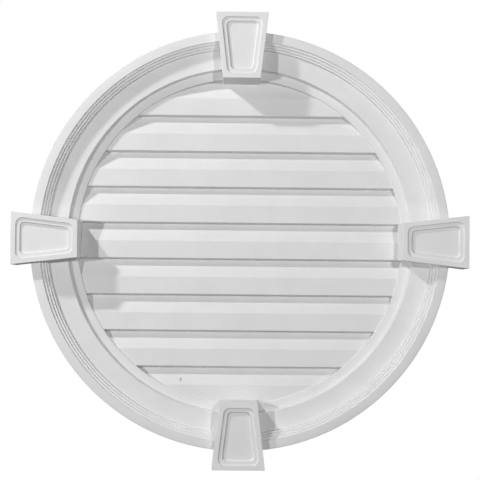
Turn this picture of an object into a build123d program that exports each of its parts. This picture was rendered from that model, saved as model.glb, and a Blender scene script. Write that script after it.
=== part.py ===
from build123d import *
import os
from math import radians, tan

# Round gable vent, cast in one piece from rigid foam, lengths in millimetres.
# The flat back lies on the wall at Y = 0, the front faces -Y, and Z is up.
# A projection is a height in front of the wall, so it lies at Y = -projection.

# Overall
keystone_span = 762.0
keystone_projection = 73.0
cut_overrun = 5.0

# Ring
ring_diameter = 701.5
ring_width = 77.15
rim_ease = 1.2
fascia_projection = 58.0
fascia_width = 14.8
fascia_fall = 0.5
reed_count = 3
reed_width = 4.3
reed_drop = 3.2
reed_ease = 0.7
reed_riser_run = 0.6
cove_step_run = 1.2
cove_step_drop = 4.8
lip_projection = 40.2
lip_width = 1.5
lip_ease = 0.6
lip_slope_run = 2.6
cove_sag = 0.8
reveal_outer_projection = 32.0
reveal_inner_projection = 30.0
reveal_width = 13.35
crease_run = 0.8

# Louvres
louvre_count = 9
louvre_margin = 1.35
nose_projection = 28.0
nose_height = 29.3
nose_round = 1.5
valley_depth = 12.5
underside_run = 2.6
louvre_root = 4.0

# Keystones
keystone_count = 4
keystone_length = 115.7
keystone_outer_width = 88.6
keystone_inner_width = 61.7
keystone_draft_deg = 0.2
keystone_end_draft_deg = 4.0
keystone_ease = 0.6
ledge_border = 7.7
ledge_depth = 2.6
ledge_corner = 11.0
panel_border = 14.4
panel_depth = 3.3
panel_corner = 8.0
panel_slope_deg = 18.0

ring_radius = ring_diameter / 2
opening_radius = ring_radius - ring_width
louvre_top = opening_radius - louvre_margin
louvre_pitch = 2 * louvre_top / louvre_count
valley_projection = nose_projection - valley_depth


def section_point(radius, projection):
    """A point of the ring's section: radius along X, height in front of the wall along -Y."""
    return Vector(radius, -projection)


def make_ring():
    """The frame: one section with fascia, reeds, cove, lip and reveal, turned about the vent's axis."""
    reveal_inner_radius = opening_radius + crease_run
    reveal_outer_radius = reveal_inner_radius + reveal_width
    lip_inner_radius = reveal_outer_radius + lip_slope_run
    lip_outer_radius = lip_inner_radius + lip_width
    back_corner = section_point(opening_radius, 0)

    front = [
        back_corner,
        section_point(ring_radius, 0),
        section_point(ring_radius, fascia_projection - fascia_fall - rim_ease),
        section_point(ring_radius - rim_ease, fascia_projection - fascia_fall),
    ]
    radius = ring_radius - fascia_width
    projection = fascia_projection
    for reed in range(reed_count):
        front.append(section_point(radius, projection))
        front.append(section_point(radius - reed_ease, projection - reed_ease))
        front.append(section_point(radius - reed_ease - reed_riser_run, projection - reed_drop))
        radius -= reed_width
        projection -= reed_drop
    front.append(section_point(radius, projection))
    cove_edge = section_point(radius - cove_step_run, projection - cove_step_drop)
    front.append(cove_edge)

    lip_edge = section_point(lip_outer_radius, lip_projection)
    inside = [
        lip_edge,
        section_point(lip_inner_radius + lip_ease, lip_projection),
        section_point(lip_inner_radius, lip_projection - lip_ease),
        section_point(reveal_outer_radius, reveal_outer_projection),
        section_point(reveal_inner_radius, reveal_inner_projection),
        section_point(opening_radius, nose_projection),
        back_corner,
    ]
    with BuildPart() as ring:
        with BuildSketch(Plane.XY):
            with BuildLine():
                Polyline(*front)
                SagittaArc(cove_edge, lip_edge, -cove_sag)
                Polyline(*inside)
            make_face()
        revolve(axis=Axis.Y)
    return ring.part


def make_louvres():
    """The louvred disc: blind slats, each a sloped face and an upright nose over a drafted underside."""
    outline = [(0, -louvre_top), (0, louvre_top), (-valley_projection, louvre_top)]
    rounds = [0, 0, 0]
    for louvre in range(louvre_count):
        top = louvre_top - louvre * louvre_pitch
        bottom = top - louvre_pitch
        outline.append((-valley_projection, top - underside_run))
        outline.append((-nose_projection, bottom + nose_height))
        outline.append((-nose_projection, bottom))
        rounds.extend([0, nose_round, nose_round])
    rounds[-1] = 0
    reach = opening_radius + louvre_root
    with BuildPart() as louvres:
        with BuildSketch(Plane.YZ):
            with BuildLine():
                FilletPolyline(*outline, radius=rounds, close=True)
            make_face()
        extrude(amount=reach, both=True)
        with BuildSketch(Plane.XZ):
            Circle(reach)
        extrude(amount=nose_projection + cut_overrun, both=True, mode=Mode.INTERSECT)
    return louvres.part


def keystone_face(border, end_lean=0.0):
    """The keystone's outline at the wall, its narrow end moved outwards by a lean, drawn in by a border."""
    outer_end = keystone_span / 2
    inner_end = outer_end - keystone_length + end_lean
    taper = (keystone_outer_width - keystone_inner_width) / keystone_length
    inner_width = keystone_inner_width + taper * end_lean
    outline = Polyline(
        (-keystone_outer_width / 2, outer_end),
        (-inner_width / 2, inner_end),
        (inner_width / 2, inner_end),
        (keystone_outer_width / 2, outer_end),
        close=True,
    )
    return offset(make_face(outline), amount=-border, kind=Kind.INTERSECTION)


def make_keystone():
    """The top keystone: a drafted wedge from the wall to its front, with a panel sunk in two steps."""
    front_inset = keystone_projection * tan(radians(keystone_draft_deg))
    end_lean = keystone_projection * tan(radians(keystone_end_draft_deg)) - front_inset
    front = Plane.XZ.offset(keystone_projection)
    front_outline = keystone_face(front_inset, end_lean)
    wedge = loft([Plane.XZ * keystone_face(0), front * front_outline], ruled=True)
    front_face = wedge.faces().sort_by(Axis.Y)[0]
    wedge = chamfer(front_face.edges(), keystone_ease)
    ledge_outline = keystone_face(front_inset + ledge_border, end_lean)
    ledge_outline = fillet(ledge_outline.vertices(), ledge_corner)
    wedge -= extrude(front * ledge_outline, amount=-ledge_depth, taper=panel_slope_deg)
    ledge = front.offset(-ledge_depth)
    panel_outline = keystone_face(front_inset + panel_border, end_lean)
    panel_outline = fillet(panel_outline.vertices(), panel_corner)
    wedge -= extrude(ledge * panel_outline, amount=-panel_depth, taper=panel_slope_deg)
    return wedge


vent = make_ring() + make_louvres()
keystone = make_keystone()
for place in range(keystone_count):
    vent += Rot(Y=place * 360 / keystone_count) * keystone

os.makedirs("parts", exist_ok=True)
export_step(vent, "parts/gable_vent.step")
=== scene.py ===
from math import asin, hypot, pi, radians, tan

import bpy
import numpy as np
from bpy.props import FloatProperty, FloatVectorProperty, IntProperty, PointerProperty
from mathutils import Matrix, Vector


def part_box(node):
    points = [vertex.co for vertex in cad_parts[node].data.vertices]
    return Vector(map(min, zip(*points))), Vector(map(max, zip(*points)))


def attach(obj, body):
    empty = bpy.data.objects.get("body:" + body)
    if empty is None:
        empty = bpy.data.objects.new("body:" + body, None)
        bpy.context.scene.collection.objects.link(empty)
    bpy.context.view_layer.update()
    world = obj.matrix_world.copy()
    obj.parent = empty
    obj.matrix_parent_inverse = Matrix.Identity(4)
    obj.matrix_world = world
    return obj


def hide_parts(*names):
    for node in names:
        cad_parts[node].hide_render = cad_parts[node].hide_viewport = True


bl_info = {
    "name": "Round gable vent",
    "version": (1, 0, 0),
    "blender": (4, 5, 0),
    "location": "3D View > Sidebar > Gable Vent",
    "description": "A round gable vent with four keystones, cast in one piece and primed white",
    "category": "Object",
}

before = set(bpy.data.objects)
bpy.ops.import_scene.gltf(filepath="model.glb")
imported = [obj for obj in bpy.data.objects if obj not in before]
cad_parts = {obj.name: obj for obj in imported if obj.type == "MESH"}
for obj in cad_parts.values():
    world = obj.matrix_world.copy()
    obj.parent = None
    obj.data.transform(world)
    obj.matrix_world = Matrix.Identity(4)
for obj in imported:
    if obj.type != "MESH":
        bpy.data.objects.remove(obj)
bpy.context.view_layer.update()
VENT_LOW, VENT_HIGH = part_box("gable_vent")

MM = 0.001
COAT = "primed_polyurethane.coat"
WHITE = (1.0, 1.0, 1.0, 1.0)

# Points that lie closer than this are one point
WELD = 0.002 * MM
# Thickness that the louvred front is drawn to before its back is laid flat
FIRST_DRAW = 1.0 * MM
# Edges that turn by more than this stay crisp
CRISP_TURN = radians(32.0)
# Rounds of splitting that make the air bubble round
BUBBLE_ROUNDS = 3
# Values of the mottle between which the primer goes from thin to thick
MOTTLE_THIN = 0.3
MOTTLE_THICK = 0.7
# Share of its full radius that the cove's rounding takes, so that its ends stay clear of the corners
COVE_SHARE = 0.96

# The camera stands where the photograph was taken, with its focal length in pixels of the photograph
IMAGE_PIXELS = 480
SENSOR_WIDTH = 36.0
FOCAL_PIXELS = 1477.9
CAMERA_PLACE = (-0.0280, -2.523, -0.0800)
CAMERA_PAN = radians(0.639)
CAMERA_TILT = radians(1.870)
CAMERA_ROLL = radians(0.556)

# The floor's edges, in metres from the vent's middle
FLOOR_SIDE = 1.6
FLOOR_FRONT = -1.9
FLOOR_BACK = 0.8

# Each lamp's place and width in metres, and the property that holds its power
LAMPS = {
    "key lamp": ((-1.31, -0.80, 1.33), 0.11, "key_power"),
    "left lamp": ((-1.70, -2.08, 0.06), 0.07, "left_power"),
    "right lamp": ((0.675, -1.82, 0.35), 0.05, "right_power"),
    "front panel": ((0.30, -2.40, -0.90), 1.3, "front_power"),
    "back left panel": ((-1.80, 1.90, 0.20), 1.2, "back_left_power"),
    "back right panel": ((1.80, 1.90, 0.40), 1.2, "back_right_power"),
}


def linear_colour(hex_code):
    """The linear colour of an sRGB hex value."""
    channels = []
    for start in (1, 3, 5):
        value = int(hex_code[start:start + 2], 16) / 255
        channels.append(value / 12.92 if value <= 0.04045 else ((value + 0.055) / 1.055) ** 2.4)
    return channels


def size(label, description, millimetres, lowest=0.0):
    """A length that a user can change, given in millimetres."""
    return FloatProperty(name=label, description=description, default=millimetres * MM, min=lowest * MM,
                         precision=4, subtype="DISTANCE", unit="LENGTH")


def number(label, description, count):
    """A whole number that a user can change."""
    return IntProperty(name=label, description=description, default=count, min=1)


def angle(label, description, degrees):
    """An angle that a user can change, given in degrees."""
    return FloatProperty(name=label, description=description, default=radians(degrees), subtype="ANGLE",
                         unit="ROTATION")


def colour(label, description, hex_code):
    """A colour that a user can change, given as an sRGB hex value."""
    return FloatVectorProperty(name=label, description=description, default=linear_colour(hex_code), size=3,
                               min=0.0, max=1.0, subtype="COLOR")


def share(label, description, part, most=1.0):
    """A share or a ratio that a user can change."""
    return FloatProperty(name=label, description=description, default=part, min=0.0, max=most,
                         subtype="FACTOR")


def watts(label, description, power):
    """The power of a lamp that a user can change."""
    return FloatProperty(name=label, description=description, default=power, min=0.0, unit="POWER")


class GABLEVENT_PG_ring(bpy.types.PropertyGroup):
    """Sizes of the round frame; a projection is a height in front of the wall."""

    diameter: size("Diameter", "Outside diameter of the round frame", 701.5)
    floor: size("Floor", "Thickness of the cast back behind the louvres", 8.0)
    rim_ease: size("Rim ease", "Rounding of the outermost front edge", 1.2)
    fascia_projection: size("Fascia projection", "Height of the flat front band at its inner edge", 58.0)
    fascia_width: size("Fascia width", "Width of the flat front band", 14.8)
    fascia_fall: size("Fascia fall", "How much lower the band lies at its outer edge", 0.5)
    fascia_crown: size("Fascia crown", "Rounding of the band across its width", 120.0)
    reed_count: number("Reeds", "Number of fine steps inside the band", 3)
    reed_width: size("Reed width", "Width of one fine step", 4.3)
    reed_drop: size("Reed drop", "Height of one fine step", 3.2)
    reed_lip: size("Reed lip", "How far a step's edge lies inside its width", 0.66)
    reed_lean: size("Reed lean", "How far a step's upright leans inwards", 0.6)
    reed_ease: size("Reed ease", "Rounding of a step's edge", 0.7)
    cove_step_run: size("Cove step run", "How far the last step leans inwards", 1.2)
    cove_step_drop: size("Cove step drop", "Height of the last step", 4.8)
    cove_sag: size("Cove sag", "Depth of the hollow between the steps and the lip", 0.8)
    lip_projection: size("Lip projection", "Height of the raised lip", 40.2)
    lip_width: size("Lip width", "Width of the lip's top", 1.5)
    lip_ease: size("Lip ease", "Rounding of the lip's edge", 0.6)
    lip_slope_run: size("Lip slope run", "How far the lip's inner side leans inwards", 2.6)
    reveal_outer: size("Reveal outer projection", "Height of the inner band at its outer edge", 32.0)
    reveal_inner: size("Reveal inner projection", "Height of the inner band at its inner edge", 30.0)
    reveal_width: size("Reveal width", "Width of the inner band", 13.35)
    opening: size("Opening", "Diameter of the opening that the louvres fill", 547.2)
    crease_run: size("Crease run", "Width of the small fall beside the louvres", 0.8)
    crease_drop: size("Crease drop", "Height of the small fall beside the louvres", 1.6)
    fine_ease: size("Fine ease", "Rounding that the mould leaves in a corner", 0.35)
    reveal_ease: size("Reveal ease", "Rounding where the lip's inner side meets the inner band", 0.7)
    segments: number("Segments", "Faces around the frame", 288)
    arc_steps: number("Arc steps", "Points on a rounded corner", 4)


class GABLEVENT_PG_louvres(bpy.types.PropertyGroup):
    """Sizes of the blind louvres inside the frame."""

    pitch: size("Pitch", "From one louvre to the next", 60.5)
    count: number("Louvres", "Number of louvres", 9)
    nose_projection: size("Nose projection", "Height of a louvre's upright face", 28.0)
    nose_height: size("Nose height", "Height of a louvre's upright face along the wall", 29.3)
    nose_ease: size("Nose ease", "Rounding of a louvre's edges", 1.5)
    valley_depth: size("Valley depth", "How far the sloped face falls behind the upright one", 12.5)
    underside_run: size("Underside run", "Lean of the underside that lets the mould go", 2.6)
    root: size("Root", "How far the louvres reach into the frame", 4.0)
    cuts: number("Cuts", "Cuts along each stretch of the section", 7)
    pinhole: size("Pinhole", "Radius of the air bubble that broke through the bottom louvre", 2.6)
    pinhole_sink: size("Pinhole sink", "How far the bubble's middle lies under the skin", 1.2)
    pinhole_stretch: share("Pinhole stretch", "Height of the bubble over its width", 1.5, most=3.0)
    pinhole_across: size("Pinhole across", "Place of the pinhole right of the middle", -97.8, lowest=-280.0)
    pinhole_height: size("Pinhole height", "Place of the pinhole above the middle", -235.7, lowest=-280.0)


class GABLEVENT_PG_keystones(bpy.types.PropertyGroup):
    """Sizes of the keystones, the raised blocks that cross the frame."""

    count: number("Keystones", "Number of keystones", 4)
    span: size("Span", "From the end of one keystone to the end of the opposite one",
               (VENT_HIGH.z - VENT_LOW.z) / MM)
    projection: size("Projection", "Height of a keystone in front of the wall",
                     (VENT_HIGH.y - VENT_LOW.y) / MM)
    length: size("Length", "From a keystone's wide end to its narrow end at the wall", 115.7)
    outer_width: size("Outer width", "Width of the wide end at the wall", 88.6)
    inner_width: size("Inner width", "Width of the narrow end at the wall", 61.7)
    draft: angle("Draft", "Lean of the sides that lets the mould go", 0.2)
    end_draft: angle("End draft", "Lean of the narrow end", 4.0)
    ease: size("Ease", "Rounding of the front edge", 0.5)
    corner: size("Corner", "Rounding of the upright corners", 0.6)
    ledge_border: size("Ledge border", "Width of the plain border", 7.7)
    ledge_depth: size("Ledge depth", "Depth of the first sunk step", 2.6)
    ledge_corner: size("Ledge corner", "Corner radius of the first sunk step", 11.0)
    ledge_slope: angle("Ledge slope", "Lean of the first step's sides", 12.0)
    ledge_foot: size("Ledge foot", "Rounding at the foot of the first step", 1.2)
    panel_border: size("Panel border", "Distance from the front edge to the sunk panel", 14.4)
    panel_depth: size("Panel depth", "Depth of the panel below the ledge", 3.3)
    panel_corner: size("Panel corner", "Corner radius of the sunk panel", 8.0)
    panel_slope: angle("Panel slope", "Lean of the panel's sides", 18.0)
    panel_foot: size("Panel foot", "Rounding at the foot of the panel's sides", 1.6)
    step_ease: size("Step ease", "Rounding of the steps' edges", 0.35)
    arc_steps: number("Arc steps", "Faces in a rounded corner", 5)


class GABLEVENT_PG_finish(bpy.types.PropertyGroup):
    """The primer coat."""

    primer: colour("Primer", "Colour of the white primer", "#DEDEDE")
    thin_primer: colour("Thin primer", "Colour where the primer lies thinner", "#DADADA")
    roughness: share("Roughness", "Roughness of the primer", 0.75)
    roughness_swing: share("Roughness swing", "How much rougher the primer is where it lies thinner", 0.05)
    gloss: share("Gloss", "Strength of the primer's reflection", 0.3)
    peel: size("Orange peel", "Spacing of the sprayed primer's fine ripple", 2.4)
    peel_height: size("Orange peel height", "Height of the fine ripple", 0.05)
    peel_strength: share("Orange peel strength", "How strongly the fine ripple shows", 0.25)
    mottle: size("Mottle", "Spacing of the thicker and thinner primer", 45.0)


class GABLEVENT_PG_stage(bpy.types.PropertyGroup):
    """The studio around the vent."""

    floor_colour: colour("Floor", "Colour of the floor", "#E4E4E2")
    floor_drop: size("Floor drop", "Distance from the vent's centre down to the floor", 900.0)
    key_power: watts("Key light", "Power of the raking lamp at the upper left", 22.8)
    left_power: watts("Left light", "Power of the lamp at the left", 25.1)
    right_power: watts("Right light", "Power of the lamp at the right", 11.1)
    front_power: watts("Front light", "Power of the broad panel below the camera", 13.6)
    back_left_power: watts("Back left light", "Power of the panel behind the vent at the left", 24.0)
    back_right_power: watts("Back right light", "Power of the panel behind the vent at the right", 64.0)
    ambient: share("Ambient", "Light that comes evenly from all round", 0.02)


def add_node(tree, kind, inputs=None, **settings):
    """Adds a node with its settings, and links or sets its inputs; a list of sockets is linked one by one."""
    node = tree.nodes.new(kind)
    for name, value in settings.items():
        setattr(node, name, value)
    for key, value in (inputs or {}).items():
        sockets = value if isinstance(value, list) else [value]
        if isinstance(sockets[0], bpy.types.NodeSocket):
            for socket in sockets:
                tree.links.new(socket, node.inputs[key])
        else:
            node.inputs[key].default_value = value
    return node


def new_tree(name, inputs):
    """A Geometry Nodes tree with a mesh in and out and named inputs of given kinds, and its input sockets."""
    tree = bpy.data.node_groups.new(name, "GeometryNodeTree")
    tree.interface.new_socket("Mesh", in_out="INPUT", socket_type="NodeSocketGeometry")
    for label, kind in inputs.items():
        tree.interface.new_socket(label, in_out="INPUT", socket_type="NodeSocket" + kind)
    tree.interface.new_socket("Mesh", in_out="OUTPUT", socket_type="NodeSocketGeometry")
    return tree, add_node(tree, "NodeGroupInput").outputs


def end_tree(tree, geometry, material):
    """Ends a tree with real, smooth geometry in the primer coat."""
    real = add_node(tree, "GeometryNodeRealizeInstances", {"Geometry": geometry})
    smooth = add_node(tree, "GeometryNodeSetShadeSmooth", {"Geometry": real.outputs["Geometry"]})
    coated = add_node(tree, "GeometryNodeSetMaterial", {"Geometry": smooth.outputs["Geometry"],
                      "Material": material})
    add_node(tree, "NodeGroupOutput", {0: coated.outputs["Geometry"]})


def grow(obj, tree, inputs):
    """Runs a tree on an object and keeps the result as the object's plain mesh."""
    modifier = obj.modifiers.new(tree.name, "NODES")
    modifier.node_group = tree
    for item in tree.interface.items_tree:
        if item.in_out == "INPUT" and item.name in inputs:
            modifier[item.identifier] = inputs[item.name]
    keep_result(obj)


def keep_result(obj):
    """Turns what an object's modifiers give into its plain mesh."""
    depsgraph = bpy.context.evaluated_depsgraph_get()
    mesh = bpy.data.meshes.new_from_object(obj.evaluated_get(depsgraph))
    obj.modifiers.clear()
    old_mesh = obj.data
    obj.data = mesh
    bpy.data.meshes.remove(old_mesh)
    mesh.name = obj.name
    if not mesh.polygons:
        raise RuntimeError(obj.name + " came out empty")


def new_object(name, points, edges=(), faces=()):
    """A mesh object at the origin."""
    mesh = bpy.data.meshes.new(name)
    mesh.from_pydata(points, edges, faces)
    mesh.update()
    obj = bpy.data.objects.new(name, mesh)
    bpy.context.scene.collection.objects.link(obj)
    return obj


def section_object(name, corners):
    """A chain of section corners (across, projection, ease), with each corner's rounding as an attribute."""
    points = [(across, -projection, 0.0) for across, projection, ease in corners]
    edges = [(index, index + 1) for index in range(len(points) - 1)]
    obj = new_object(name, points, edges)
    rounding = obj.data.attributes.new("ease", "FLOAT", "POINT")
    rounding.data.foreach_set("value", [ease for across, projection, ease in corners])
    return obj


def rounded_line(tree, chain, steps):
    """Nodes that make a line of a section chain and round its corners by their ease."""
    line = add_node(tree, "GeometryNodeMeshToCurve", {"Mesh": chain})
    ease = add_node(tree, "GeometryNodeInputNamedAttribute", {"Name": "ease"}, data_type="FLOAT")
    end = add_node(tree, "GeometryNodeCurveEndpointSelection").outputs["Selection"]
    radius = calculate(tree, "MULTIPLY", ease.outputs["Attribute"], calculate(tree, "SUBTRACT", 1.0, end))
    rounded = add_node(tree, "GeometryNodeFilletCurve", {"Curve": line.outputs["Curve"], "Count": steps,
                       "Radius": radius}, mode="POLY")
    return rounded.outputs["Curve"]


def calculate(tree, operation, first, second=0.0):
    """The result socket of one sum."""
    return add_node(tree, "ShaderNodeMath", {0: first, 1: second}, operation=operation).outputs[0]


def sheet_on_line(tree, line, columns):
    """Nodes for a grid with one row for each point of a line.

    Gives the grid, the place across it from -0.5 to 0.5, and the line's X and Y at each row.
    """
    rows = add_node(tree, "GeometryNodeAttributeDomainSize", {"Geometry": line},
                    component="CURVE").outputs["Point Count"]
    grid = add_node(tree, "GeometryNodeMeshGrid", {"Size X": 1.0, "Size Y": 1.0, "Vertices X": columns,
                    "Vertices Y": rows})
    position = add_node(tree, "GeometryNodeInputPosition").outputs["Position"]
    place = add_node(tree, "ShaderNodeSeparateXYZ", {"Vector": position})
    along = calculate(tree, "ADD", place.outputs["Y"], 0.5)
    row = calculate(tree, "MULTIPLY", along, calculate(tree, "SUBTRACT", rows, 1.0))
    index = calculate(tree, "ROUND", row)
    sample = add_node(tree, "GeometryNodeSampleIndex", {"Geometry": line, "Index": index},
                      data_type="FLOAT_VECTOR", domain="POINT")
    tree.links.new(position, sample.inputs["Value"])
    point = add_node(tree, "ShaderNodeSeparateXYZ", {"Vector": sample.outputs["Value"]})
    return grid.outputs["Mesh"], place.outputs["X"], point.outputs["X"], point.outputs["Y"]


def turning_tree():
    """Turns a section about the vent's axis into a closed solid."""
    tree, given = new_tree("turn about the axis", {"Segments": "Int", "Arc steps": "Int",
                           "Primer": "Material"})
    line = rounded_line(tree, given["Mesh"], given["Arc steps"])
    columns = calculate(tree, "ADD", given["Segments"], 1.0)
    sheet, across, radius, depth = sheet_on_line(tree, line, columns)
    turn = calculate(tree, "MULTIPLY", across, -2 * pi)
    side = calculate(tree, "MULTIPLY", radius, calculate(tree, "SINE", turn))
    height = calculate(tree, "MULTIPLY", radius, calculate(tree, "COSINE", turn))
    place = add_node(tree, "ShaderNodeCombineXYZ", {"X": side, "Y": depth, "Z": height})
    turned = add_node(tree, "GeometryNodeSetPosition", {"Geometry": sheet,
                      "Position": place.outputs["Vector"]})
    closed = add_node(tree, "GeometryNodeMergeByDistance", {"Geometry": turned.outputs["Geometry"],
                      "Distance": WELD})
    end_tree(tree, closed.outputs["Geometry"], given["Primer"])
    return tree


def louvre_tree():
    """Repeats one louvre's section down the disc, and casts it as a solid disc with a flat back."""
    tree, given = new_tree("repeat louvres", {"Louvres": "Int", "Pitch": "Float", "Reach": "Float",
                           "Back": "Float", "Arc steps": "Int", "Cuts": "Int", "Primer": "Material"})
    step = add_node(tree, "ShaderNodeCombineXYZ", {"X": calculate(tree, "MULTIPLY", given["Pitch"], -1.0)})
    places = add_node(tree, "GeometryNodeMeshLine", {"Count": given["Louvres"],
                      "Offset": step.outputs["Vector"]})
    louvres = add_node(tree, "GeometryNodeInstanceOnPoints", {"Points": places.outputs["Mesh"],
                       "Instance": given["Mesh"]})
    chain = add_node(tree, "GeometryNodeRealizeInstances", {"Geometry": louvres.outputs["Instances"]})
    chain = add_node(tree, "GeometryNodeMergeByDistance", {"Geometry": chain.outputs["Geometry"],
                     "Distance": WELD})
    line = rounded_line(tree, chain.outputs["Geometry"], given["Arc steps"])
    line = add_node(tree, "GeometryNodeSubdivideCurve", {"Curve": line, "Cuts": given["Cuts"]})
    sheet, across, height, depth = sheet_on_line(tree, line.outputs["Curve"], 2)
    square = calculate(tree, "SUBTRACT", calculate(tree, "MULTIPLY", given["Reach"], given["Reach"]),
                       calculate(tree, "MULTIPLY", height, height))
    half = calculate(tree, "SQRT", calculate(tree, "MAXIMUM", square, 0.0))
    side = calculate(tree, "MULTIPLY", calculate(tree, "MULTIPLY", across, 2.0), half)
    place = add_node(tree, "ShaderNodeCombineXYZ", {"X": side, "Y": depth, "Z": height})
    front = add_node(tree, "GeometryNodeSetPosition", {"Geometry": sheet,
                     "Position": place.outputs["Vector"]})
    drawn = add_node(tree, "GeometryNodeExtrudeMesh", {"Mesh": front.outputs["Geometry"], "Individual": False,
                     "Offset Scale": FIRST_DRAW}, mode="FACES")
    position = add_node(tree, "GeometryNodeInputPosition").outputs["Position"]
    spot = add_node(tree, "ShaderNodeSeparateXYZ", {"Vector": position})
    flat = add_node(tree, "ShaderNodeCombineXYZ", {"X": spot.outputs["X"], "Z": spot.outputs["Z"],
                    "Y": calculate(tree, "MULTIPLY", given["Back"], -1.0)})
    back = add_node(tree, "GeometryNodeSetPosition", {"Geometry": drawn.outputs["Mesh"],
                    "Selection": drawn.outputs["Top"], "Position": flat.outputs["Vector"]})
    face = add_node(tree, "GeometryNodeFlipFaces", {"Mesh": front.outputs["Geometry"]})
    both = add_node(tree, "GeometryNodeJoinGeometry", {"Geometry": [face.outputs["Mesh"],
                    back.outputs["Geometry"]]})
    closed = add_node(tree, "GeometryNodeMergeByDistance", {"Geometry": both.outputs["Geometry"],
                      "Distance": WELD})
    end_tree(tree, closed.outputs["Geometry"], given["Primer"])
    return tree


def keystone_tree():
    """Sets a keystone round the vent's axis at even turns."""
    tree, given = new_tree("set keystones", {"Keystones": "Int", "Primer": "Material"})
    places = add_node(tree, "GeometryNodeMeshLine", {"Count": given["Keystones"], "Offset": (0.0, 0.0, 0.0)})
    index = add_node(tree, "GeometryNodeInputIndex").outputs["Index"]
    step = calculate(tree, "DIVIDE", 2 * pi, given["Keystones"])
    euler = add_node(tree, "ShaderNodeCombineXYZ", {"Y": calculate(tree, "MULTIPLY", index, step)})
    turn = add_node(tree, "FunctionNodeEulerToRotation", {"Euler": euler.outputs["Vector"]})
    keystones = add_node(tree, "GeometryNodeInstanceOnPoints", {"Points": places.outputs["Mesh"],
                         "Instance": given["Mesh"], "Rotation": turn.outputs["Rotation"]})
    end_tree(tree, keystones.outputs["Instances"], given["Primer"])
    return tree


def casting_tree():
    """Casts the frame, louvres and keystones as one solid, and breaks the pinhole through its skin."""
    tree, given = new_tree("cast in one", {"Louvres": "Object", "Keystones": "Object", "Pinhole": "Float",
                           "Pinhole stretch": "Float", "Pinhole place": "Vector", "Primer": "Material"})
    louvres = add_node(tree, "GeometryNodeObjectInfo", {"Object": given["Louvres"]})
    keystones = add_node(tree, "GeometryNodeObjectInfo", {"Object": given["Keystones"]})
    solid = add_node(tree, "GeometryNodeMeshBoolean", {"Mesh 2": [given["Mesh"], louvres.outputs["Geometry"],
                     keystones.outputs["Geometry"]]}, operation="UNION", solver="MANIFOLD")
    bubble = add_node(tree, "GeometryNodeMeshIcoSphere", {"Radius": given["Pinhole"],
                      "Subdivisions": BUBBLE_ROUNDS})
    stretch = add_node(tree, "ShaderNodeCombineXYZ", {"X": 1.0, "Y": 1.0, "Z": given["Pinhole stretch"]})
    bubble = add_node(tree, "GeometryNodeTransform", {"Geometry": bubble.outputs["Mesh"],
                      "Translation": given["Pinhole place"], "Scale": stretch.outputs["Vector"]})
    pitted = add_node(tree, "GeometryNodeMeshBoolean", {"Mesh 1": solid.outputs["Mesh"],
                      "Mesh 2": bubble.outputs["Geometry"]}, operation="DIFFERENCE", solver="MANIFOLD")
    end_tree(tree, pitted.outputs["Mesh"], given["Primer"])
    return tree


def ring_corners(sizes):
    """The frame's section from the axis along the back, over the front and down to the cast floor."""
    outside = sizes.diameter / 2
    fine = sizes.fine_ease
    corners = [
        (0.0, 0.0, 0.0),
        (outside, 0.0, fine),
        (outside, sizes.fascia_projection - sizes.fascia_fall, sizes.rim_ease),
        (outside - sizes.fascia_width / 2, sizes.fascia_projection - sizes.fascia_fall / 4,
         sizes.fascia_crown),
    ]
    radius = outside - sizes.fascia_width
    projection = sizes.fascia_projection
    for reed in range(sizes.reed_count):
        edge = radius - sizes.reed_lip
        corners.append((edge, projection, sizes.reed_ease))
        corners.append((edge - sizes.reed_lean, projection - sizes.reed_drop, fine))
        radius -= sizes.reed_width
        projection -= sizes.reed_drop
    corners.append((radius, projection, sizes.reed_ease))

    opening = sizes.opening / 2
    reveal_inner = opening + sizes.crease_run
    reveal_outer = reveal_inner + sizes.reveal_width
    lip_inner = reveal_outer + sizes.lip_slope_run
    cove_start = Vector((radius - sizes.cove_step_run, projection - sizes.cove_step_drop))
    cove_end = Vector((lip_inner + sizes.lip_width, sizes.lip_projection))
    chord = cove_end - cove_start
    cove_radius = chord.length_squared / (8 * sizes.cove_sag) + sizes.cove_sag / 2
    half_turn = asin(chord.length / 2 / cove_radius)
    inward = Vector((-chord.y, chord.x)).normalized()
    apex = (cove_start + cove_end) / 2 + inward * (chord.length / 2 * tan(half_turn))
    corners.append((*cove_start, fine))
    corners.append((*apex, cove_radius * COVE_SHARE))
    corners.append((*cove_end, fine))
    corners.append((lip_inner + sizes.lip_ease / 2, sizes.lip_projection, sizes.lip_ease))
    corners.append((reveal_outer, sizes.reveal_outer, sizes.reveal_ease))
    corners.append((reveal_inner, sizes.reveal_inner, fine))
    corners.append((opening, sizes.reveal_inner - sizes.crease_drop, fine))
    corners.append((opening, sizes.floor, 0.0))
    corners.append((0.0, sizes.floor, 0.0))
    return corners


def louvre_corners(sizes, fine_ease):
    """The section of the top louvre: the drafted underside above it, its sloped face and its upright nose."""
    top = sizes.pitch * sizes.count / 2
    bottom = top - sizes.pitch
    valley = sizes.nose_projection - sizes.valley_depth
    return [
        (top, sizes.nose_projection, sizes.nose_ease),
        (top - sizes.underside_run, valley, fine_ease),
        (bottom + sizes.nose_height, sizes.nose_projection, sizes.nose_ease),
        (bottom, sizes.nose_projection, sizes.nose_ease),
    ]


def round_corner(before, corner, after, radius, steps):
    """Points of the arc that rounds the corner between two straight stretches."""
    corner = Vector(corner)
    to_before = (Vector(before) - corner).normalized()
    to_after = (Vector(after) - corner).normalized()
    half = to_before.angle(to_after) / 2
    reach = radius / tan(half)
    middle = corner + (to_before + to_after).normalized() * hypot(radius, reach)
    start = corner + to_before * reach - middle
    sweep = pi - 2 * half
    turn = 1 if to_before.cross(to_after) < 0 else -1
    return [middle + Matrix.Rotation(turn * sweep * step / steps, 2) @ start for step in range(steps + 1)]


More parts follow.
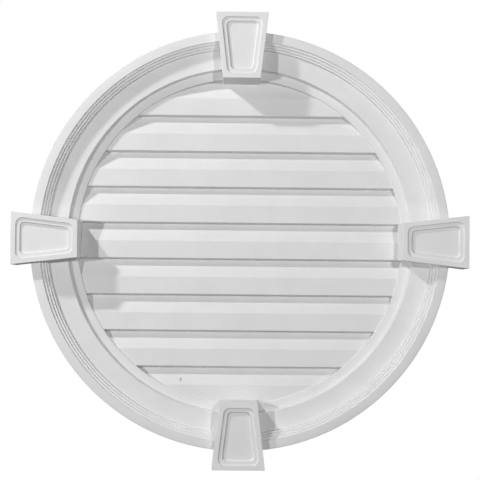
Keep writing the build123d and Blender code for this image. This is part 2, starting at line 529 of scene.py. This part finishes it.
def keystone_loop(sizes, inset, corner, projection):
    """One closed loop of the top keystone: its outline at the wall drawn in by an inset, with round corners.

    The narrow end also leans outwards in front of the wall.
    """
    outer_end = sizes.span / 2
    lean = sizes.projection * (tan(sizes.end_draft) - tan(sizes.draft)) if projection > 0 else 0.0
    inner_end = outer_end - sizes.length + lean
    flare = (sizes.outer_width - sizes.inner_width) / 2 / sizes.length
    draw_in = inset * hypot(1.0, flare)
    outer_half = sizes.outer_width / 2 - draw_in - inset * flare
    inner_half = sizes.inner_width / 2 - draw_in + (inset + lean) * flare
    outline = [
        (-outer_half, outer_end - inset),
        (outer_half, outer_end - inset),
        (inner_half, inner_end + inset),
        (-inner_half, inner_end + inset),
    ]
    loop = []
    for index in range(4):
        after = outline[(index + 1) % 4]
        arc = round_corner(outline[index - 1], outline[index], after, corner, sizes.arc_steps)
        loop.extend((point.x, -projection, point.y) for point in arc)
    return loop


def keystone_steps(sizes):
    """Inset, projection and corner radius of each loop, from the wall over the front to the sunk panel."""
    front = sizes.projection * tan(sizes.draft)
    ledge = front + sizes.ledge_border
    ledge_foot = ledge + sizes.ledge_depth * tan(sizes.ledge_slope)
    ledge_level = sizes.projection - sizes.ledge_depth
    panel = front + sizes.panel_border
    panel_foot = panel + sizes.panel_depth * tan(sizes.panel_slope)
    panel_level = ledge_level - sizes.panel_depth
    profile = [
        (0.0, 0.0, 0.0, sizes.corner),
        (front, sizes.projection, sizes.ease, sizes.corner),
        (ledge, sizes.projection, sizes.step_ease, sizes.ledge_corner),
        (ledge_foot, ledge_level, sizes.ledge_foot, sizes.ledge_corner),
        (panel, ledge_level, sizes.step_ease, sizes.panel_corner),
        (panel_foot, panel_level, sizes.panel_foot, sizes.panel_corner),
        (panel_foot + sizes.panel_border, panel_level, 0.0, sizes.corner),
    ]
    insets = [step[0] for step in profile]
    corners = [step[3] for step in profile]
    steps = [(0.0, 0.0, sizes.corner)]
    for before, here, after in zip(profile, profile[1:], profile[2:]):
        for inset, projection in round_corner(before[:2], here[:2], after[:2], here[2], sizes.arc_steps):
            steps.append((inset, projection, float(np.interp(inset, insets, corners))))
    return steps


def primed_polyurethane(finish):
    """Rigid polyurethane foam cast in a silicone mould and sprayed with white primer.

    The skin is close to smooth and matte with a low sheen. The spray leaves a fine ripple like orange peel,
    and the primer is a shade greyer where it lies thinner.
    """
    material = bpy.data.materials.new(COAT)
    material.use_nodes = True
    tree = material.node_tree
    tree.nodes.clear()
    place = add_node(tree, "ShaderNodeTexCoord").outputs["Object"]
    mottle = add_node(tree, "ShaderNodeTexNoise", {"Vector": place, "Scale": 1 / finish.mottle, "Detail": 3.0,
                      "Roughness": 0.55})
    tone = add_node(tree, "ShaderNodeMapRange", {"Value": mottle.outputs["Fac"], "From Min": MOTTLE_THIN,
                    "From Max": MOTTLE_THICK})
    paint = add_node(tree, "ShaderNodeMix", {"Factor": tone.outputs["Result"],
                     "A": (*finish.thin_primer, 1.0), "B": (*finish.primer, 1.0)}, data_type="RGBA")
    peel = add_node(tree, "ShaderNodeTexNoise", {"Vector": place, "Scale": 1 / finish.peel, "Detail": 2.0,
                    "Roughness": 0.5})
    sheen = add_node(tree, "ShaderNodeMapRange", {"Value": mottle.outputs["Fac"], "From Min": MOTTLE_THIN,
                     "From Max": MOTTLE_THICK, "To Min": finish.roughness + finish.roughness_swing,
                     "To Max": finish.roughness - finish.roughness_swing})
    bump = add_node(tree, "ShaderNodeBump", {"Height": peel.outputs["Fac"], "Strength": finish.peel_strength,
                    "Distance": finish.peel_height})
    skin = add_node(tree, "ShaderNodeBsdfPrincipled", {"Base Color": paint.outputs["Result"],
                    "Roughness": sheen.outputs["Result"], "Normal": bump.outputs["Normal"], "IOR": 1.5,
                    "Specular IOR Level": finish.gloss})
    add_node(tree, "ShaderNodeOutputMaterial", {"Surface": skin.outputs["BSDF"]})
    return material


def primer():
    """The one primer coat that every part of the casting shares."""
    coat = bpy.data.materials.get(COAT)
    return coat or primed_polyurethane(bpy.context.scene.gable_vent_finish)


class GABLEVENT_OT_turn_ring(bpy.types.Operator):
    """Turn the round frame from its section"""

    bl_idname = "gable_vent.turn_ring"
    bl_label = "Turn the frame"

    def execute(self, context):
        sizes = context.scene.gable_vent_ring
        ring = section_object("vent_moulding", ring_corners(sizes))
        grow(ring, turning_tree(), {"Segments": sizes.segments, "Arc steps": sizes.arc_steps,
                                    "Primer": primer()})
        return {"FINISHED"}


class GABLEVENT_OT_set_louvres(bpy.types.Operator):
    """Repeat the louvres down the disc"""

    bl_idname = "gable_vent.set_louvres"
    bl_label = "Set the louvres"

    def execute(self, context):
        sizes = context.scene.gable_vent_louvres
        ring = context.scene.gable_vent_ring
        louvres = section_object("louvre_disc", louvre_corners(sizes, ring.fine_ease))
        grow(louvres, louvre_tree(), {"Louvres": sizes.count, "Pitch": sizes.pitch,
                                      "Reach": ring.opening / 2 + sizes.root, "Back": ring.floor / 2,
                                      "Arc steps": ring.arc_steps, "Cuts": sizes.cuts, "Primer": primer()})
        return {"FINISHED"}


class GABLEVENT_OT_set_keystones(bpy.types.Operator):
    """Loft a keystone with its sunk panel and set it round the frame"""

    bl_idname = "gable_vent.set_keystones"
    bl_label = "Set the keystones"

    def execute(self, context):
        sizes = context.scene.gable_vent_keystones
        points = []
        for inset, projection, corner in keystone_steps(sizes):
            points.extend(keystone_loop(sizes, inset, corner, projection))
        around = 4 * (sizes.arc_steps + 1)
        last = len(points) - around
        faces = [tuple(range(around)), tuple(range(len(points) - 1, last - 1, -1))]
        for start in range(0, last, around):
            for index in range(around):
                after = (index + 1) % around
                faces.append((start + index, start + around + index, start + around + after, start + after))
        keystones = new_object("keystones", points, faces=faces)
        grow(keystones, keystone_tree(), {"Keystones": sizes.count, "Primer": primer()})
        return {"FINISHED"}


class GABLEVENT_OT_cast_moulding(bpy.types.Operator):
    """Cast the frame, the louvres and the keystones as one primed piece"""

    bl_idname = "gable_vent.cast_moulding"
    bl_label = "Cast the moulding"

    def execute(self, context):
        moulding = bpy.data.objects["vent_moulding"]
        louvres = bpy.data.objects["louvre_disc"]
        keystones = bpy.data.objects["keystones"]
        sizes = context.scene.gable_vent_louvres
        valley_height = sizes.pitch * (1 - sizes.count / 2) - sizes.underside_run
        slope_height = sizes.pitch - sizes.underside_run - sizes.nose_height
        risen = (valley_height - sizes.pinhole_height) / slope_height
        depth = sizes.nose_projection - sizes.valley_depth * (1 - risen) - sizes.pinhole_sink
        grow(moulding, casting_tree(), {"Louvres": louvres, "Keystones": keystones, "Pinhole": sizes.pinhole,
                                        "Pinhole stretch": sizes.pinhole_stretch,
                                        "Pinhole place": (sizes.pinhole_across, -depth, sizes.pinhole_height),
                                        "Primer": primer()})
        bpy.data.objects.remove(louvres)
        bpy.data.objects.remove(keystones)
        moulding.data.set_sharp_from_angle(angle=CRISP_TURN)
        weighted = moulding.modifiers.new("even normals", "WEIGHTED_NORMAL")
        weighted.keep_sharp = True
        keep_result(moulding)
        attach(moulding, "root")
        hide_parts("gable_vent")
        return {"FINISHED"}


def add_lamp(name, place, width, power):
    """A square lamp that faces the vent."""
    lamp = bpy.data.lights.new(name, "AREA")
    lamp.shape = "SQUARE"
    lamp.size = width
    lamp.energy = power
    obj = bpy.data.objects.new(name, lamp)
    obj.location = place
    obj.rotation_euler = (-Vector(place)).to_track_quat("-Z", "Y").to_euler()
    bpy.context.scene.collection.objects.link(obj)


def lay_floor(stage):
    """A plain pale floor below the vent, which shows its shadow and throws no light back at it."""
    height = -stage.floor_drop
    corners = [
        (-FLOOR_SIDE, FLOOR_FRONT, height),
        (FLOOR_SIDE, FLOOR_FRONT, height),
        (FLOOR_SIDE, FLOOR_BACK, height),
        (-FLOOR_SIDE, FLOOR_BACK, height),
    ]
    floor = new_object("floor", corners, faces=[(0, 1, 2, 3)])
    material = bpy.data.materials.new("pale_floor")
    material.use_nodes = True
    tree = material.node_tree
    tree.nodes.clear()
    paint = add_node(tree, "ShaderNodeBsdfPrincipled", {"Base Color": (*stage.floor_colour, 1.0),
                     "Roughness": 0.8})
    add_node(tree, "ShaderNodeOutputMaterial", {"Surface": paint.outputs["BSDF"]})
    floor.data.materials.append(material)
    floor.visible_diffuse = False


def light_world(scene, stage):
    """White surroundings for the camera and in reflections, and a little even light on the vent."""
    world = bpy.data.worlds.new("white surroundings")
    world.use_nodes = True
    tree = world.node_tree
    tree.nodes.clear()
    path = add_node(tree, "ShaderNodeLightPath").outputs
    seen = calculate(tree, "MAXIMUM", path["Is Camera Ray"], path["Is Glossy Ray"])
    seen = calculate(tree, "MAXIMUM", seen, path["Is Transmission Ray"])
    even = add_node(tree, "ShaderNodeBackground", {"Color": WHITE, "Strength": stage.ambient})
    white = add_node(tree, "ShaderNodeBackground", {"Color": WHITE, "Strength": 1.0})
    mixed = add_node(tree, "ShaderNodeMixShader", {0: seen, 1: even.outputs[0], 2: white.outputs[0]})
    add_node(tree, "ShaderNodeOutputWorld", {"Surface": mixed.outputs[0]})
    scene.world = world


def place_camera(scene):
    """The camera at the photograph's viewing angle."""
    camera = bpy.data.cameras.new("camera")
    camera.sensor_width = SENSOR_WIDTH
    camera.lens = FOCAL_PIXELS * SENSOR_WIDTH / IMAGE_PIXELS
    obj = bpy.data.objects.new("camera", camera)
    pan = Matrix.Rotation(-CAMERA_PAN, 4, "Z")
    tilt = Matrix.Rotation(pi / 2 + CAMERA_TILT, 4, "X")
    roll = Matrix.Rotation(CAMERA_ROLL, 4, "Z")
    obj.matrix_world = Matrix.Translation(CAMERA_PLACE) @ pan @ tilt @ roll
    scene.collection.objects.link(obj)
    scene.camera = obj


class GABLEVENT_OT_set_stage(bpy.types.Operator):
    """Set the floor, the white surroundings, the lamps and the camera"""

    bl_idname = "gable_vent.set_stage"
    bl_label = "Set the stage"

    def execute(self, context):
        scene = context.scene
        stage = scene.gable_vent_stage
        lay_floor(stage)
        light_world(scene, stage)
        for name, (place, width, power) in LAMPS.items():
            add_lamp(name, place, width, getattr(stage, power))
        place_camera(scene)
        scene.view_settings.view_transform = "Standard"
        return {"FINISHED"}


OPERATORS = (
    GABLEVENT_OT_turn_ring,
    GABLEVENT_OT_set_louvres,
    GABLEVENT_OT_set_keystones,
    GABLEVENT_OT_cast_moulding,
    GABLEVENT_OT_set_stage,
)

GROUPS = {
    "gable_vent_ring": GABLEVENT_PG_ring,
    "gable_vent_louvres": GABLEVENT_PG_louvres,
    "gable_vent_keystones": GABLEVENT_PG_keystones,
    "gable_vent_finish": GABLEVENT_PG_finish,
    "gable_vent_stage": GABLEVENT_PG_stage,
}


class GABLEVENT_PT_panel(bpy.types.Panel):
    """Sizes and steps of the round gable vent"""

    bl_label = "Round gable vent"
    bl_idname = "GABLEVENT_PT_panel"
    bl_space_type = "VIEW_3D"
    bl_region_type = "UI"
    bl_category = "Gable Vent"

    def draw(self, context):
        for name in GROUPS:
            group = getattr(context.scene, name)
            box = self.layout.box()
            box.label(text=name.replace("gable_vent_", "").capitalize())
            for key in group.bl_rna.properties.keys():
                if key not in ("rna_type", "name"):
                    box.prop(group, key)
        for operator in OPERATORS:
            self.layout.operator(operator.bl_idname)


def register():
    for name, group in GROUPS.items():
        bpy.utils.register_class(group)
        setattr(bpy.types.Scene, name, PointerProperty(type=group))
    for operator in OPERATORS:
        bpy.utils.register_class(operator)
    bpy.utils.register_class(GABLEVENT_PT_panel)


def unregister():
    bpy.utils.unregister_class(GABLEVENT_PT_panel)
    for operator in reversed(OPERATORS):
        bpy.utils.unregister_class(operator)
    for name, group in reversed(GROUPS.items()):
        delattr(bpy.types.Scene, name)
        bpy.utils.unregister_class(group)


def main():
    register()
    bpy.ops.gable_vent.turn_ring()
    bpy.ops.gable_vent.set_louvres()
    bpy.ops.gable_vent.set_keystones()
    bpy.ops.gable_vent.cast_moulding()
    bpy.ops.gable_vent.set_stage()


if __name__ == "__main__":
    main()
